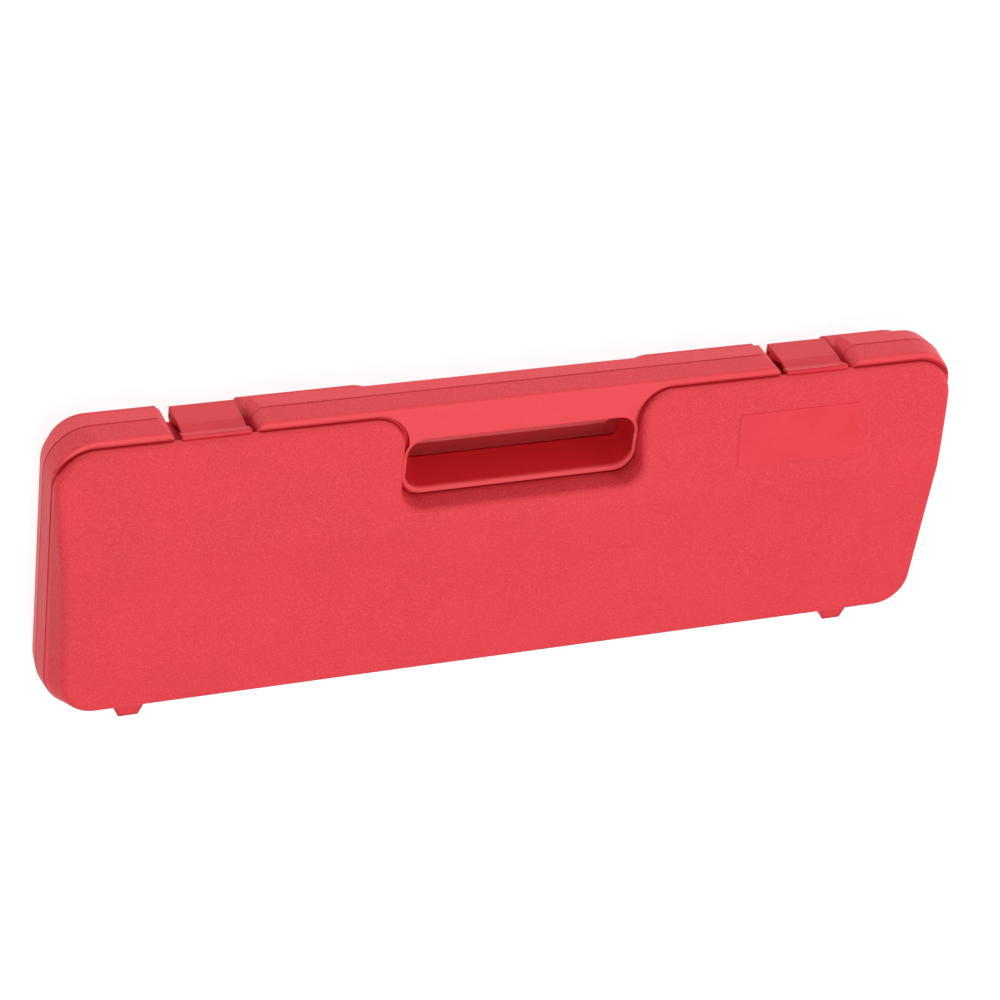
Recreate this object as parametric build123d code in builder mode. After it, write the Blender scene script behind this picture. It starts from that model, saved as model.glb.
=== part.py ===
# Hard case for a melodica: two blow-moulded shells that open like a book, with a carrying
# slot and two snap latches on the front and a pinned hinge along the back.
# Millimetres. The case lies shut on its base: +Z up out of the lid, the handle and the latches
# towards -Y, the hinge towards +Y. The origin is the middle of the base's resting face.
from build123d import *
import os

# Overall size, at the parting plane where the two rims meet
case_length = 480.0
case_width = 157.6
rim_corner = 23.0
base_depth = 26.8          # parting plane down to the resting face
lid_depth = 24.3           # parting plane up to the crease, the lid's highest line

# Rim band round both shells
rim_depth = 12.2
rim_draft = 1.5            # how much narrower the rim is at its outer edge
rim_edge_round = 1.6
rim_bevel = 0.4            # along the parting line
groove_depth = 1.6         # valley between the rim and the puffed body
groove_width = 2.0
shell_gap = 0.3            # between the two rims when the case is shut

# The lid's face: nearly level behind a crease, sloping down from it towards the handle
crease_from_handle = 65.3
crease_round = 40.0
face_slope = 0.193         # fall per millimetre towards the handle
face_fall = 0.015          # fall per millimetre towards the hinge
lid_face_round = 3.0

# Puffed bodies: how far the foot is set in from the rim, and how far the lid's walls lean in
inset_handle = 6.4
lid_inset = 1.7            # at the hinge side and the ends
lid_lean = 3.6
lid_lean_front_corner = 0.4
lid_lean_back_corner = 7.8
base_inset_hinge = 4.2
base_inset_end = 4.2
base_inset_back_corner = 7.4
base_draft = 8.0           # degrees
base_face_round = 5.0
body_corner = 21.0
lobe_corner = 17.0         # where a lobe turns in beside the handle
notch_corner = 8.5

# Handle: a flat panel between two lobes of the body, with a slot through both shells.
# Distances across the case are from the handle side's outer edge.
panel_half_length = 62.4
lid_notch = 52.8
base_notch = 41.3
slot_half_length = 60.9    # mouth of the slot on the lid's panel
slot_mouth = (20.5, 50.4)
slot_mouth_corner = 9.5
waist_half_length = 56.5   # narrowest place of the slot, at the parting plane
waist = (21.9, 38.1)
waist_corner = 3.0
back_half_length = 58.0    # mouth of the slot on the base
back_mouth = (20.8, 38.6)
back_corner = 4.5
lip_width = 1.5            # raised lip round the slot's mouth
lip_height = 0.9

# Inside: a nest for the instrument and two pockets for its tube and mouthpiece
nest_margin_end = 11.0
nest_margin_hinge = 9.0
nest_front = 58.8
pocket_front = 26.0
pocket_back = 52.3
pocket_inner_x = 69.0
cavity_floor = 3.2         # thickness left under each cavity
cavity_draft = 6.0         # degrees
nest_corner = 14.0
pocket_corner = 9.0
floor_round = 4.0

# Latches: a plate over each recess, hinged on a lug in the base, hooked over a rib on the lid
latch_from_end = 80.8
latch_half_width = 16.1
lip_overhang = 1.1         # how much wider the finger lip is than the plate, each side
recess_depth = 11.4
recess_depth_low = 21.0    # at the base's resting face
recess_half_floor = 19.2
recess_half_top = 21.7
recess_shoulder = 8.0
recess_foot = 1.5
latch_pivot_drop = 12.3    # below the parting plane
latch_outer_in = 4.0       # the plate's outer face, in from the rim's outer face
latch_thickness = 1.9
latch_back_round = 1.8
latch_bend_rise = 1.0      # above the parting plane
latch_hollow_rise = 6.8
latch_hollow_in = 5.2
latch_tip_rise = 12.2
latch_tip_in = 3.6
latch_tip_thickness = 2.3
latch_bend_round = 6.0
latch_cheek_radius = 3.0   # round the pin, at each side of the latch
latch_lug_radius = 1.9
latch_lug_neck = 1.4       # half height of the lug between its eye and the recess's floor
latch_lug_half_width = 7.8
latch_lug_gap = 0.4
latch_pin_radius = 1.0
latch_pin_inset = 0.7      # the pin's ends, in from the plate's sides
pivot_clearance = 0.05
hook_reach = 1.0           # how far the latch's nose stands in from its hollow
hook_length = 1.6
hook_half_width = 12.0
catch_clearance = 0.3
catch_length = 1.8

# Hinge
hinge_out = 2.2            # the axis, out from the rim's outer face
knuckle_radius = 3.8
knuckle_length = 11.6
knuckle_gap = 0.4
knuckles_per_hinge = 5
hinge_from_end = 122.0
hinge_pin_radius = 1.4
hinge_pin_inset = 0.6      # the pin's ends, in from the outer knuckles
knuckle_clearance = 0.5

# Feet on the hinge side, for standing the shut case upright
foot_from_end = 44.6
foot_reach = 7.4           # beyond the rim
foot_root_half = 8.6
foot_tip_half = 5.0
foot_start = 6.8           # from the parting plane
foot_end = 13.5
foot_sink = 6.0            # how far it runs into the shell

# Label
label_from_end = 88.6
label_from_handle = 38.5
label_size = (68.4, 28.4)
label_corner = 1.8
label_thickness = 0.3

half_length = case_length / 2
half_width = case_width / 2
parting_z = base_depth
rim_top = parting_z + rim_depth
rim_bottom = parting_z - rim_depth
crease_y = -half_width + crease_from_handle
latch_x = half_length - latch_from_end
pivot_y = (-half_width + latch_outer_in + latch_thickness + latch_lug_radius
           + latch_lug_gap / 2)
pivot_z = parting_z - latch_pivot_drop
hinge_x = half_length - hinge_from_end
hinge_y = half_width + hinge_out
hinge_half_length = (knuckles_per_hinge * (knuckle_length + knuckle_gap) - knuckle_gap) / 2
foot_x = half_length - foot_from_end


def face_z(y):
    """Height of the lid's face at y, its crease taken as sharp."""
    slope = face_slope if y < crease_y else -face_fall
    return parting_z + lid_depth + (y - crease_y) * slope


def side_plane(x):
    """A plane across the case at x, whose local X runs back along +Y and local Y up."""
    return Plane(origin=(x, 0, 0), x_dir=(0, 1, 0), z_dir=(1, 0, 0))


def rim_outline(z, inset):
    """The rim's rounded rectangle at height z, drawn in by inset."""
    with BuildSketch(Plane.XY.offset(z)) as outline:
        RectangleRounded(case_length - 2 * inset, case_width - 2 * inset, rim_corner - inset)
    return outline.sketch


def body_outline(z, front_in, back_in, end_in, back_corner_in, notch, lean=0.0):
    """A puffed body at height z with its notch for the handle, from its insets off the rim.

    lean shrinks the corners and the lobes' inner sides with height, and grows them if negative.
    """
    front = -half_width + front_in
    back = half_width - back_in
    end = half_length - end_in
    end_back = half_length - back_corner_in
    panel = panel_half_length + lean
    notch_y = -half_width + notch + lean
    with BuildSketch(Plane.XY.offset(z)) as outline:
        with BuildLine():
            Polyline(
                (panel, front), (end, front), (end_back, back), (-end_back, back),
                (-end, front), (-panel, front), (-panel, notch_y), (panel, notch_y),
                close=True)
        make_face()
        rounding = {
            (panel, front): lobe_corner - lean, (end, front): body_corner - lean,
            (end_back, back): body_corner - lean, (panel, notch_y): notch_corner + lean}
        for (x, y), radius in rounding.items():
            fillet(outline.vertices().filter_by(
                lambda v: abs(abs(v.X) - x) < 0.01 and abs(v.Y - y) < 0.01), radius)
    return outline.sketch


def lid_outline(z, grow=0.0):
    """The foot of the lid's body, grown all round."""
    return body_outline(z, inset_handle - grow, lid_inset - grow, lid_inset - grow,
                        lid_inset - grow, lid_notch, -grow)


def base_outline(z, grow=0.0):
    """The foot of the base's body, grown all round."""
    return body_outline(z, inset_handle - grow, base_inset_hinge - grow, base_inset_end - grow,
                        base_inset_back_corner - grow, base_notch, -grow)


def cut_lid_face():
    """Shapes the lid's face: the slope, the soft crease and the nearly level part behind it."""
    front = -half_width + inset_handle - 1
    above = parting_z + lid_depth + 10
    with BuildSketch(side_plane(0)) as waste:
        with BuildLine():
            Polyline(
                (front, face_z(front)), (crease_y, face_z(crease_y)),
                (half_width, face_z(half_width)), (half_width, above), (front, above), close=True)
        make_face()
        fillet(waste.vertices().filter_by(
            lambda v: abs(v.Y - crease_y) < 0.01 and v.Z < above - 1), crease_round)
    extrude(waste.sketch, amount=half_length, both=True, mode=Mode.SUBTRACT)


def bounds_lid_face(edge):
    """Whether an edge of the lid runs round its face, leaving out the crease's two edges."""
    middle = edge @ 0.5
    in_crease = abs(middle.Y - crease_y) < crease_round / 5 and abs((edge % 0.5).X) > 0.999
    near = abs(middle.Z - face_z(middle.Y)) < crease_round / 100
    return near and not in_crease and middle.Y > -half_width + inset_handle - 0.5


def slot_outline(z, half_x, span, corner):
    """A rounded slot at height z, centred on X; span is from the handle side's edge."""
    with BuildSketch(Plane.XY.offset(z)) as outline:
        with Locations((0, -half_width + sum(span) / 2)):
            RectangleRounded(2 * half_x, span[1] - span[0], corner)
    return outline.sketch


def recess_outline(z, x, depth):
    """A latch recess at x, seen from above: soft shoulders, steep sides, a flat floor."""
    outer = -half_width
    floor = outer + depth
    reach = recess_half_top + 2 * recess_shoulder
    with BuildSketch(Plane.XY.offset(z)) as outline:
        with BuildLine():
            Polyline(
                (x + reach, outer - rim_depth), (x + reach, outer),
                (x + recess_half_top, outer), (x + recess_half_floor, floor),
                (x - recess_half_floor, floor), (x - recess_half_top, outer),
                (x - reach, outer), (x - reach, outer - rim_depth), close=True)
        make_face()
        for half_x, y, radius in ((recess_half_top, outer, recess_shoulder),
                                  (recess_half_floor, floor, recess_foot)):
            fillet(outline.vertices().filter_by(
                lambda v: abs(abs(v.X - x) - half_x) < 0.01 and abs(v.Y - y) < 0.01), radius)
    return outline.sketch


def knuckle_row(owner):
    """X positions of the knuckles that belong to the base (owner 0) or the lid (owner 1)."""
    pitch = knuckle_length + knuckle_gap
    first = -(knuckles_per_hinge - 1) / 2
    return [side * hinge_x + (first + i) * pitch
            for side in (-1, 1) for i in range(knuckles_per_hinge) if i % 2 == owner]


def add_knuckles(owner, direction):
    """Knuckles on webs: direction is +1 above the parting plane, -1 below it."""
    for x in knuckle_row(owner):
        with BuildSketch(side_plane(x)) as knuckle:
            with Locations((hinge_y, parting_z)):
                Circle(knuckle_radius)
            with BuildLine():
                Polyline(
                    (hinge_y, parting_z + direction * knuckle_radius),
                    (half_width - rim_draft - 2, parting_z + direction * (knuckle_radius + 1)),
                    (half_width - rim_draft - 2, parting_z + direction * shell_gap / 2),
                    (hinge_y, parting_z + direction * shell_gap / 2), close=True)
            make_face()
        extrude(knuckle.sketch, amount=knuckle_length / 2, both=True)


def clear_knuckles(other):
    """Room in this shell's rim for the other shell's knuckles."""
    for x in knuckle_row(other):
        with BuildSketch(side_plane(x)) as room:
            with Locations((hinge_y, parting_z)):
                Circle(knuckle_radius + knuckle_clearance)
        extrude(room.sketch, amount=knuckle_length / 2 + knuckle_gap, both=True, mode=Mode.SUBTRACT)


def drill_hinge():
    """The pin's bore through this shell's knuckles."""
    for side in (-1, 1):
        with BuildSketch(side_plane(side * hinge_x)) as bore:
            with Locations((hinge_y, parting_z)):
                Circle(hinge_pin_radius + pivot_clearance)
        extrude(bore.sketch, amount=hinge_half_length + 1, both=True, mode=Mode.SUBTRACT)


def add_feet(direction):
    """Two tapered feet on the hinge side of this shell."""
    start = parting_z + direction * foot_start
    for side in (-1, 1):
        with BuildSketch(Plane.XY.offset(start)) as foot:
            with BuildLine():
                Polyline(
                    (side * foot_x - foot_root_half, half_width - foot_sink),
                    (side * foot_x + foot_root_half, half_width - foot_sink),
                    (side * foot_x + foot_root_half, half_width),
                    (side * foot_x + foot_tip_half, half_width + foot_reach),
                    (side * foot_x - foot_tip_half, half_width + foot_reach),
                    (side * foot_x - foot_root_half, half_width), close=True)
            make_face()
        extrude(foot.sketch, amount=direction * (foot_end - foot_start))


def latch_inner(rise):
    """How far in from the rim's outer face the latch's inner face lies, up to its hollow."""
    share = (rise - latch_bend_rise) / (latch_hollow_rise - latch_bend_rise)
    return latch_outer_in + latch_thickness + share * (latch_hollow_in - latch_outer_in)


def add_catches():
    """A rib in each of the lid's recesses, just under the latch's nose."""
    top = latch_hollow_rise - hook_length / 2 - catch_clearance
    crest = -half_width + latch_inner(top) + catch_clearance
    floor = -half_width + recess_depth
    for side in (-1, 1):
        with BuildSketch(side_plane(side * latch_x)) as rib:
            with BuildLine():
                Polyline(
                    (floor + 1, parting_z + top), (crest, parting_z + top),
                    (crest, parting_z + top - catch_length / 2),
                    (floor, parting_z + top - 2 * catch_length),
                    (floor + 1, parting_z + top - 2 * catch_length), close=True)
            make_face()
        extrude(rib.sketch, amount=hook_half_width, both=True)


def add_latch_lugs():
    """The lug in each of the base's recesses, bored for the latch's pin."""
    root = -half_width + recess_depth + latch_pivot_drop / 4
    for side in (-1, 1):
        with BuildSketch(side_plane(side * latch_x)) as lug:
            with Locations((pivot_y, pivot_z)):
                Circle(latch_lug_radius)
            with Locations(((pivot_y + root) / 2, pivot_z)):
                Rectangle(root - pivot_y, 2 * latch_lug_neck)
            with Locations((pivot_y, pivot_z)):
                Circle(latch_pin_radius + pivot_clearance, mode=Mode.SUBTRACT)
        extrude(lug.sketch, amount=latch_lug_half_width, both=True)


def cut_cavity(direction, depth, x_span, y_span, corner):
    """A drafted pocket from the parting plane, rounded along its floor."""
    with BuildSketch(Plane.XY.offset(parting_z)) as mouth:
        with Locations((sum(x_span) / 2, sum(y_span) / 2)):
            RectangleRounded(x_span[1] - x_span[0], y_span[1] - y_span[0], corner)
    extrude(mouth.sketch, amount=direction * depth, taper=cavity_draft, mode=Mode.SUBTRACT)
    floor_z = parting_z + direction * depth
    floor = faces().filter_by(Axis.Z).filter_by(
        lambda f: abs(f.center().Z - floor_z) < 0.01
        and x_span[0] < f.center().X < x_span[1] and y_span[0] < f.center().Y < y_span[1])
    fillet(floor.edges(), floor_round)


def cut_cavities(direction, nest_depth, pocket_depth):
    """The instrument's nest along the hinge side and a pocket each side of the handle."""
    end = half_length - nest_margin_end
    cut_cavity(direction, nest_depth, (-end, end),
               (-half_width + nest_front, half_width - nest_margin_hinge), nest_corner)
    for side in (-1, 1):
        x_span = sorted((side * pocket_inner_x, side * end))
        cut_cavity(direction, pocket_depth, x_span,
                   (-half_width + pocket_front, -half_width + pocket_back), pocket_corner)


# Lid shell
groove_z = rim_top - groove_depth
with BuildPart() as lid_shell:
    loft([rim_outline(parting_z + shell_gap / 2, 0), rim_outline(rim_top, rim_draft)])
    fillet(faces().sort_by(Axis.Z)[-1].edges(), rim_edge_round)
    chamfer(faces().sort_by(Axis.Z)[0].edges(), rim_bevel)
    extrude(lid_outline(groove_z, groove_width), amount=groove_depth + 1, mode=Mode.SUBTRACT)
    for side in (-1, 1):
        extrude(recess_outline(parting_z - 1, side * latch_x, recess_depth), amount=rim_depth + 2,
                mode=Mode.SUBTRACT)
    loft([lid_outline(groove_z),
          body_outline(parting_z + lid_depth, inset_handle + lid_lean, lid_inset + lid_lean,
                       lid_inset + lid_lean_front_corner, lid_inset + lid_lean_back_corner,
                       lid_notch, lid_lean)], ruled=True)
    cut_lid_face()
    fillet(edges().filter_by(bounds_lid_face), lid_face_round)
    extrude(slot_outline(rim_top - lip_height, slot_half_length + lip_width,
                         (slot_mouth[0] - lip_width, slot_mouth[1] + lip_width),
                         slot_mouth_corner + lip_width), amount=lip_height)
    nest_height = min(face_z(-half_width + nest_front), face_z(half_width - nest_margin_hinge))
    pocket_height = face_z(-half_width + pocket_front)
    cut_cavities(1, nest_height - parting_z - cavity_floor,
                 pocket_height - parting_z - cavity_floor)
    loft([slot_outline(parting_z, waist_half_length, waist, waist_corner),
          slot_outline(rim_top, slot_half_length, slot_mouth, slot_mouth_corner)],
         mode=Mode.SUBTRACT)
    add_catches()
    add_feet(1)
    clear_knuckles(0)
    add_knuckles(1, 1)
    drill_hinge()
lid_shell.part.label = "lid_shell"

# Base shell
groove_low = rim_bottom + groove_depth
recess_split = rim_bottom - 0.5
with BuildPart() as base_shell:
    loft([rim_outline(parting_z - shell_gap / 2, 0), rim_outline(rim_bottom, rim_draft)])
    fillet(faces().sort_by(Axis.Z)[0].edges(), rim_edge_round)
    chamfer(faces().sort_by(Axis.Z)[-1].edges(), rim_bevel)
    extrude(base_outline(groove_low, groove_width), amount=-groove_depth - 1, mode=Mode.SUBTRACT)
    extrude(base_outline(groove_low), amount=-groove_low, taper=base_draft)
    fillet(faces().sort_by(Axis.Z)[0].edges(), base_face_round)
    for side in (-1, 1):
        extrude(recess_outline(parting_z + 1, side * latch_x, recess_depth),
                amount=recess_split - parting_z - 1, mode=Mode.SUBTRACT)
        loft([recess_outline(recess_split, side * latch_x, recess_depth),
              recess_outline(-1, side * latch_x, recess_depth_low)], ruled=True,
             mode=Mode.SUBTRACT)
    cut_cavities(-1, base_depth - cavity_floor, base_depth - cavity_floor)
    loft([slot_outline(parting_z, waist_half_length, waist, waist_corner),
          slot_outline(rim_bottom, back_half_length, back_mouth, back_corner)],
         mode=Mode.SUBTRACT)
    add_latch_lugs()
    add_feet(-1)
    clear_knuckles(1)
    add_knuckles(0, -1)
    drill_hinge()
base_shell.part.label = "base_shell"

pieces = [lid_shell, base_shell]

# Latches and their pins
for side, name in ((-1, "left"), (1, "right")):
    outer = -half_width + latch_outer_in
    hollow = -half_width + latch_hollow_in
    tip = -half_width + latch_tip_in
    back_z = pivot_z - latch_cheek_radius
    bend_z = parting_z + latch_bend_rise
    hollow_z = parting_z + latch_hollow_rise
    tip_z = parting_z + latch_tip_rise
    with BuildPart() as latch:
        with BuildSketch(side_plane(side * latch_x)) as plate:
            with BuildLine():
                Polyline(
                    (outer, back_z), (outer, bend_z), (hollow, hollow_z), (tip, tip_z),
                    (tip + latch_tip_thickness, tip_z), (hollow + latch_thickness, hollow_z),
                    (outer + latch_thickness, bend_z), (outer + latch_thickness, back_z),
                    close=True)
            make_face()
            for y in (hollow, hollow + latch_thickness):
                fillet(plate.vertices().filter_by(
                    lambda v: abs(v.Y - y) < 0.01 and abs(v.Z - hollow_z) < 0.01),
                    latch_bend_round)
            fillet(plate.vertices().filter_by(
                lambda v: abs(v.Y - outer) < 0.01 and v.Z < parting_z), latch_back_round)
        extrude(amount=latch_half_width, both=True)
        with BuildSketch(side_plane(side * latch_x)) as lip:
            with BuildLine():
                Polyline(
                    (hollow, hollow_z), (tip, tip_z), (tip + latch_tip_thickness, tip_z),
                    (hollow + latch_thickness, hollow_z), close=True)
            make_face()
        extrude(amount=latch_half_width + lip_overhang, both=True)
        with BuildSketch(side_plane(side * latch_x)) as nose:
            with Locations((hollow + latch_thickness + (hook_reach - 1) / 2, hollow_z)):
                Rectangle(hook_reach + 1, hook_length)
        extrude(amount=hook_half_width, both=True)
        for end in (-1, 1):
            with BuildSketch(side_plane(side * latch_x + end * latch_half_width)) as cheek:
                with Locations((pivot_y, pivot_z)):
                    Circle(latch_cheek_radius)
                with BuildLine():
                    Polyline(
                        (outer + 1, back_z), (pivot_y, back_z),
                        (pivot_y + latch_cheek_radius, pivot_z), (outer + latch_thickness, bend_z),
                        (outer + 1, bend_z), close=True)
                make_face()
            extrude(amount=-end * (latch_half_width - latch_lug_half_width - latch_lug_gap))
        with BuildSketch(side_plane(side * latch_x)) as bore:
            with Locations((pivot_y, pivot_z)):
                Circle(latch_pin_radius + pivot_clearance)
        extrude(amount=latch_half_width + 1, both=True, mode=Mode.SUBTRACT)
    latch.part.label = "latch_" + name
    pieces.append(latch)
    with BuildPart() as latch_pin:
        with BuildSketch(side_plane(side * latch_x)):
            with Locations((pivot_y, pivot_z)):
                Circle(latch_pin_radius)
        extrude(amount=latch_half_width - latch_pin_inset, both=True)
    latch_pin.part.label = "latch_pin_" + name
    pieces.append(latch_pin)
    with BuildPart() as hinge_pin:
        with BuildSketch(side_plane(side * hinge_x)):
            with Locations((hinge_y, parting_z)):
                Circle(hinge_pin_radius)
        extrude(amount=hinge_half_length - hinge_pin_inset, both=True)
    hinge_pin.part.label = "hinge_pin_" + name
    pieces.append(hinge_pin)

# Label on the slope of the lid's face
label_y = -half_width + label_from_handle
label_plane = Plane(origin=(-half_length + label_from_end, label_y, face_z(label_y)),
                    x_dir=(1, 0, 0), z_dir=(0, -face_slope, 1))
with BuildPart() as label:
    with BuildSketch(label_plane):
        RectangleRounded(label_size[0], label_size[1], label_corner)
    extrude(amount=label_thickness)
label.part.label = "label"
pieces.append(label)

os.makedirs("parts", exist_ok=True)
for piece in pieces:
    export_step(piece.part, "parts/" + piece.part.label + ".step")
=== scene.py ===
"""Looks for the melodica hard case: plastic, steel and label materials, floor, light and camera.

Every piece keeps the mesh of its CAD node. The patterns lie in the part's own coordinates.
"""
import math

import bpy
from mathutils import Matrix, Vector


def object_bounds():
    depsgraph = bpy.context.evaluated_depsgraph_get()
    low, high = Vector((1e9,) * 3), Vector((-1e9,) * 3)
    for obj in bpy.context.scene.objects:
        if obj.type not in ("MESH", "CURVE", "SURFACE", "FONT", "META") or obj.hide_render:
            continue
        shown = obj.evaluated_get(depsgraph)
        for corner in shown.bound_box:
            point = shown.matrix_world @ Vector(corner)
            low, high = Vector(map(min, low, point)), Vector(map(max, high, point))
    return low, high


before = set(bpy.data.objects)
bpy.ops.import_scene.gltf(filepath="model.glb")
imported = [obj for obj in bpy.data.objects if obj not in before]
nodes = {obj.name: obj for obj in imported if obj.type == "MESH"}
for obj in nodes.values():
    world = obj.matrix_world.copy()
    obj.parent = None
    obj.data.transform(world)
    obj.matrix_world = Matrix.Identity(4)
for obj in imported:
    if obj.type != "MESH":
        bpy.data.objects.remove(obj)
cad_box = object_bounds()

# Places on the shells, in metres
PARTING = 0.0268                   # height of the plane where the two shells meet
RIM = 0.0122                       # how far each rim reaches from it
BODY_BAND = (0.0003, 0.0014)       # past the rim's top, where the puffed body begins
PANEL_BAND = (-0.0012, -0.0003)    # short of it, where the flat handle panel begins
GRIP_SHADE_BAND = (-0.0020, -0.0002)     # short of it, where the grip slot's walls turn dark with painted shade
GRIP_SHADE_BOX = (0.0618, -0.0600, -0.0278)    # grip slot, whose walls get painted shade: half length, then its two sides in Y
LIP_HIGHLIGHT_BOX = (0.0628, -0.0480, -0.0262)     # raised lip beside it, which gets a painted highlight: the same
BOX_EDGE = 0.0006                  # width of the soft edge of both boxes

# Radius over which the shading rounds an edge, in metres
RIM_ROUNDING = 0.0006
BODY_ROUNDING = 0.0048
LATCH_ROUNDING = 0.0012

PAINTED_SHADE_REACH = 0.026               # how near a facing wall deepens the colour into painted shade, in metres

# Colours, as linear red, green and blue. A pair is mottled from the first to the second.
SHELL_TINTS = ((0.67, 0.029, 0.043), (0.72, 0.034, 0.049))
GRAIN_TINT = (0.84, 0.060, 0.080)
# painted sheen: lighter tint for the smooth handle panel
PANEL_SHEEN_TINT = (0.79, 0.058, 0.072)
# painted highlight along the grip slot's lip
LIP_HIGHLIGHT_TINT = (0.86, 0.10, 0.12)
# painted shade colour for hollows and the grip slot's walls
HOLLOW_PAINTED_SHADE_TINT = (0.42, 0.006, 0.008)
LATCH_TINTS = ((0.67, 0.022, 0.038), (0.72, 0.028, 0.044))
LABEL_TINTS = ((0.72, 0.026, 0.040), (0.76, 0.032, 0.048))
STEEL_TINTS = ((0.62, 0.61, 0.60), (0.48, 0.47, 0.46))
FLOOR_TINTS = ((0.24, 0.24, 0.24), (0.27, 0.27, 0.27))
WHITE = (1.0, 1.0, 1.0, 1.0)

# Studio
FLOOR_SIZE = 60.0
FLOOR_GLOW = 0.88
SKY_STRENGTH = 0.40
LIGHT_TARGET = (0.0, 0.0, 0.03)
LIGHTS = (                         # name, place, width in metres, power in watts
    ("soft_top", (0.1, 0.45, 2.6), 1.2, 44.0),
    ("soft_front", (0.3, -2.4, 0.62), 0.9, 8.0),
    ("soft_left", (-2.4, -0.5, 0.9), 1.0, 20.0),
)
CAMERA_PLACE = (0.58762, -0.90763, 1.27238)
CAMERA_TURN = (-35.845, -20.847, -173.189)    # degrees
CAMERA_LENS = 117.32               # mm, on a sensor 36 mm wide
CAMERA_SENSOR = 36.0
CAMERA_REACH = 100.0               # metres


def material(name):
    """A new node material: itself, its tree, its shader and its object coordinates."""
    made = bpy.data.materials.new(name)
    made.use_nodes = True
    tree = made.node_tree
    shader = next(n for n in tree.nodes if n.type == "BSDF_PRINCIPLED")
    coords = tree.nodes.new("ShaderNodeTexCoord").outputs["Object"]
    return made, tree, shader, coords


def fill(tree, socket, value):
    """Joins value to socket where it is an output, and else sets it there."""
    if isinstance(value, bpy.types.NodeSocket):
        tree.links.new(value, socket)
    else:
        socket.default_value = value


def node(tree, kind, inputs=None, **settings):
    """Adds a node, sets its properties and joins or fills its inputs."""
    made = tree.nodes.new("ShaderNode" + kind)
    for key, value in settings.items():
        setattr(made, key, value)
    for key, value in (inputs or {}).items():
        fill(tree, made.inputs[key], value)
    return made


def math_node(tree, operation, a, b=0.0, clamp=False):
    """One sum on one or two values."""
    return node(tree, "Math", {0: a, 1: b}, operation=operation, use_clamp=clamp).outputs[0]


def ramp(tree, value, low, high, out_low=0.0, out_high=1.0):
    """value between low and high, spread smoothly over out_low to out_high."""
    return node(tree, "MapRange", {"Value": value, "From Min": low, "From Max": high,
                                   "To Min": out_low, "To Max": out_high},
                interpolation_type="SMOOTHSTEP").outputs["Result"]


def noise(tree, coords, scale, detail=2.0, rough=0.5):
    """Cloudy noise, with scale cells to the metre."""
    return node(tree, "TexNoise", {"Vector": coords, "Scale": scale, "Detail": detail,
                                   "Roughness": rough}).outputs["Fac"]


def mix_colour(tree, amount, first, second):
    """Goes from the first colour to the second as amount goes from 0 to 1."""
    made = node(tree, "Mix", data_type="RGBA")
    for place, value in ((0, amount), (6, first), (7, second)):
        if isinstance(value, tuple):
            value = (*value, 1.0)
        fill(tree, made.inputs[place], value)
    return made.outputs[2]


def mottle(tree, pattern, tints, low=0.3, high=0.7):
    """Goes between a pair of colours as pattern goes from low to high."""
    return mix_colour(tree, ramp(tree, pattern, low, high), *tints)


def bump(tree, height, distance, strength=1.0, normal=None):
    """A normal tilted by the slope of height, on top of an earlier normal if one is given."""
    made = node(tree, "Bump", {"Height": height, "Distance": distance, "Strength": strength})
    if normal is not None:
        tree.links.new(normal, made.inputs["Normal"])
    return made.outputs["Normal"]


def round_edges(tree, radius, samples):
    """A normal that shades every edge as if it were rounded to radius."""
    return node(tree, "Bevel", {"Radius": radius}, samples=samples).outputs["Normal"]


def soften_edges(tree, body):
    """A normal that rounds the puffed bodies' edges more than the rims'."""
    plain = round_edges(tree, RIM_ROUNDING, 4)
    soft = round_edges(tree, BODY_ROUNDING, 8)
    made = node(tree, "Mix", {0: body, 4: plain, 5: soft}, data_type="VECTOR")
    return node(tree, "VectorMath", {0: made.outputs[1]}, operation="NORMALIZE").outputs[0]


def inside(tree, parts, box):
    """1 inside a box across the case, 0 outside it, with a soft edge."""
    half_x, y_low, y_high = box
    along = math_node(tree, "ABSOLUTE", parts.outputs["X"])
    in_x = ramp(tree, along, half_x - BOX_EDGE, half_x, 1.0, 0.0)
    above = ramp(tree, parts.outputs["Y"], y_low, y_low + BOX_EDGE)
    below = ramp(tree, parts.outputs["Y"], y_high - BOX_EDGE, y_high, 1.0, 0.0)
    return math_node(tree, "MULTIPLY", in_x, math_node(tree, "MULTIPLY", above, below))


def paint_shade_in_hollows(tree, shader, tint, shadow=None):
    """Gives shader its colour with painted shade: deeper and with less sheen where walls face
    each other.

    shadow is 1 where the painted shade is to be full whatever the walls do.
    """
    open_sky = node(tree, "AmbientOcclusion", {"Distance": PAINTED_SHADE_REACH}, samples=8,
                    only_local=True).outputs["AO"]
    unshaded_share = ramp(tree, open_sky, 0.45, 0.92, 0.30, 1.0)
    if shadow is not None:
        lit = math_node(tree, "SUBTRACT", 1.0, shadow, clamp=True)
        unshaded_share = math_node(tree, "MULTIPLY", unshaded_share, lit)
    tree.links.new(mix_colour(tree, unshaded_share, HOLLOW_PAINTED_SHADE_TINT, tint), shader.inputs["Base Color"])
    tree.links.new(ramp(tree, unshaded_share, 0.0, 1.0, 0.03, 0.32), shader.inputs["Specular IOR Level"])


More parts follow.
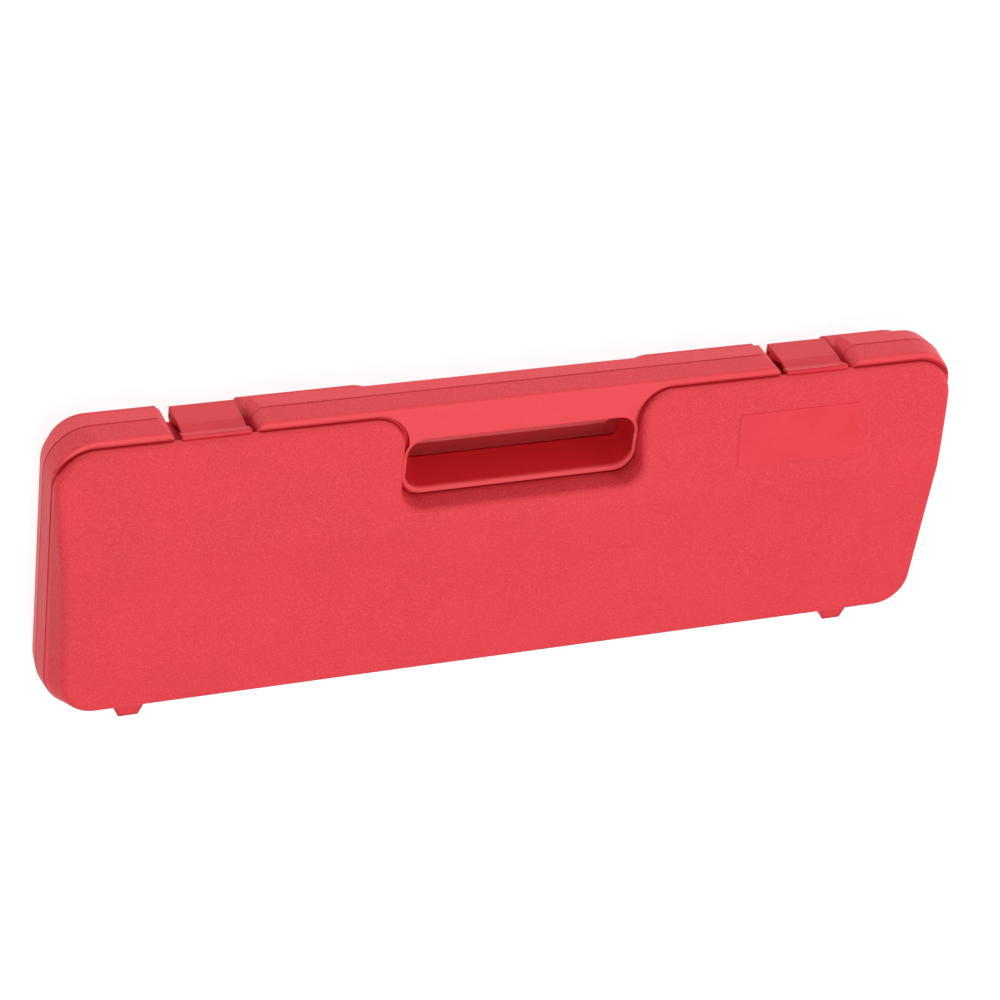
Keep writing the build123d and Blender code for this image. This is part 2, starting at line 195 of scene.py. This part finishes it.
def shell_material():
    """Moulded polyethylene: leather grain on the puffed bodies, smoother rims and handle."""
    made, tree, shader, coords = material("case_plastic")
    parts = node(tree, "SeparateXYZ", {0: coords})
    height = math_node(tree, "ABSOLUTE",
                       math_node(tree, "SUBTRACT", parts.outputs["Z"], PARTING))
    body = ramp(tree, height, RIM + BODY_BAND[0], RIM + BODY_BAND[1])
    panel = ramp(tree, height, RIM + PANEL_BAND[0], RIM + PANEL_BAND[1])
    panel = math_node(tree, "SUBTRACT", panel, body, clamp=True)

    # Grain and ripple
    cells = node(tree, "TexVoronoi", {"Vector": coords, "Scale": 1150.0, "Randomness": 1.0},
                 feature="SMOOTH_F1").outputs["Distance"]
    fine = noise(tree, coords, 1900.0, 3.0, 0.6)
    broad = noise(tree, coords, 26.0, 3.0, 0.55)
    ripple = noise(tree, coords, 9.0, 1.0, 0.4)
    skin = math_node(tree, "ADD", math_node(tree, "MULTIPLY", cells, 0.8),
                     math_node(tree, "MULTIPLY", fine, 0.5))
    strength = ramp(tree, body, 0.0, 1.0, 0.22, 1.0)
    normal = bump(tree, ripple, 0.0012, 0.10, soften_edges(tree, body))
    normal = bump(tree, math_node(tree, "MULTIPLY", skin, strength), 0.00045, 1.0, normal)
    tree.links.new(normal, shader.inputs["Normal"])

    # Colour: mottled and paler on the raised grain, with painted sheen on the handle panel and a
    # painted highlight on the slot's lip
    tint = mottle(tree, broad, SHELL_TINTS)
    tint = mix_colour(tree, ramp(tree, skin, 0.35, 0.85, 0.0, 0.55), tint, GRAIN_TINT)
    # painted sheen on the handle panel
    tint = mix_colour(tree, math_node(tree, "MULTIPLY", panel, 0.7), tint, PANEL_SHEEN_TINT)
    lip_highlight = math_node(tree, "MULTIPLY", panel, inside(tree, parts, LIP_HIGHLIGHT_BOX))
    tint = mix_colour(tree, math_node(tree, "MULTIPLY", lip_highlight, 0.6), tint, LIP_HIGHLIGHT_TINT)
    # Painted shade: deeper colour in the hollows and on the grip slot's walls below the rim's
    # top
    grip_shade_depth = ramp(tree, height, RIM + GRIP_SHADE_BAND[0], RIM + GRIP_SHADE_BAND[1], 1.0, 0.0)
    grip_shade = math_node(tree, "MULTIPLY", grip_shade_depth, inside(tree, parts, GRIP_SHADE_BOX))
    paint_shade_in_hollows(tree, shader, tint, math_node(tree, "MULTIPLY", grip_shade, 0.92))

    rough = math_node(tree, "ADD", ramp(tree, body, 0.0, 1.0, 0.50, 0.60),
                      ramp(tree, broad, 0.25, 0.75, -0.03, 0.04))
    tree.links.new(rough, shader.inputs["Roughness"])
    shader.inputs["IOR"].default_value = 1.5
    return made


def latch_material():
    """The latches' smoother moulding."""
    made, tree, shader, coords = material("latch_plastic")
    fine = noise(tree, coords, 1500.0, 2.0, 0.6)
    broad = noise(tree, coords, 60.0, 3.0, 0.55)
    normal = bump(tree, broad, 0.0006, 0.12, round_edges(tree, LATCH_ROUNDING, 6))
    tree.links.new(bump(tree, fine, 0.00016, 0.8, normal), shader.inputs["Normal"])
    # painted shade in the latches' hollows
    paint_shade_in_hollows(tree, shader, mottle(tree, broad, LATCH_TINTS))
    tree.links.new(ramp(tree, broad, 0.25, 0.75, 0.38, 0.46), shader.inputs["Roughness"])
    return made


def label_material():
    """A bare film label of nearly the shell's own colour."""
    made, tree, shader, coords = material("label_film")
    fine = noise(tree, coords, 900.0, 2.0, 0.5)
    broad = noise(tree, coords, 45.0, 2.0, 0.5)
    waves = math_node(tree, "ADD", broad, math_node(tree, "MULTIPLY", fine, 0.1))
    tree.links.new(bump(tree, waves, 0.0003, 0.15), shader.inputs["Normal"])
    tree.links.new(mottle(tree, broad, LABEL_TINTS), shader.inputs["Base Color"])
    tree.links.new(ramp(tree, fine, 0.3, 0.7, 0.33, 0.42), shader.inputs["Roughness"])
    return made


def pin_material():
    """Drawn steel wire, with its lines along X."""
    made, tree, shader, coords = material("steel_wire")
    drawn = node(tree, "Mapping", {"Vector": coords, "Scale": (0.02, 1.0, 1.0)}).outputs[0]
    lines = noise(tree, drawn, 9000.0, 3.0, 0.6)
    spots = noise(tree, coords, 500.0, 3.0, 0.6)
    tree.links.new(bump(tree, lines, 0.00003, 0.5), shader.inputs["Normal"])
    tree.links.new(mottle(tree, spots, STEEL_TINTS, 0.35, 0.75), shader.inputs["Base Color"])
    tree.links.new(ramp(tree, lines, 0.3, 0.7, 0.24, 0.40), shader.inputs["Roughness"])
    shader.inputs["Metallic"].default_value = 1.0
    return made


def floor_material():
    """A pale floor that glows, so that it shows white as in the photo."""
    made, tree, shader, coords = material("pale_floor")
    cloud = noise(tree, coords, 3.0, 2.0, 0.5)
    tree.links.new(mottle(tree, cloud, FLOOR_TINTS), shader.inputs["Base Color"])
    shader.inputs["Emission Color"].default_value = WHITE
    shader.inputs["Emission Strength"].default_value = FLOOR_GLOW
    shader.inputs["Roughness"].default_value = 0.9
    return made


def area_light(name, location, size, power):
    """A square soft light at location, turned to face the case."""
    light = bpy.data.lights.new(name, "AREA")
    light.shape = "SQUARE"
    light.size = size
    light.energy = power
    made = bpy.data.objects.new(name, light)
    made.location = location
    aim = [t - p for t, p in zip(LIGHT_TARGET, location)]
    length = math.sqrt(sum(a * a for a in aim))
    pitch = math.acos(-aim[2] / length)
    yaw = math.atan2(aim[0], -aim[1])
    made.rotation_euler = (pitch, 0.0, yaw + math.pi)
    bpy.context.scene.collection.objects.link(made)


shell = shell_material()
latch = latch_material()
steel = pin_material()
film = label_material()
# Each piece takes the first look whose text its name starts with
looks = (("latch_pin", steel), ("hinge_pin", steel), ("latch", latch), ("label", film),
         ("", shell))
for name, piece in nodes.items():
    chosen = next(look for start, look in looks if name.startswith(start))
    piece.data.materials.clear()
    piece.data.materials.append(chosen)

bpy.ops.mesh.primitive_plane_add(size=FLOOR_SIZE, location=(0.0, 0.0, cad_box[0][2]))
floor = bpy.context.object
floor.name = "floor"
floor.data.materials.append(floor_material())

for row in LIGHTS:
    area_light(*row)

world = bpy.data.worlds.new("studio")
world.use_nodes = True
background = world.node_tree.nodes["Background"]
background.inputs["Color"].default_value = WHITE
background.inputs["Strength"].default_value = SKY_STRENGTH
bpy.context.scene.world = world

camera_data = bpy.data.cameras.new("camera")
camera_data.sensor_width = CAMERA_SENSOR
camera_data.lens = CAMERA_LENS
camera_data.clip_end = CAMERA_REACH
camera = bpy.data.objects.new("camera", camera_data)
camera.location = CAMERA_PLACE
camera.rotation_euler = [math.radians(angle) for angle in CAMERA_TURN]
bpy.context.scene.collection.objects.link(camera)
bpy.context.scene.camera = camera
bpy.context.scene.view_settings.view_transform = "Standard"
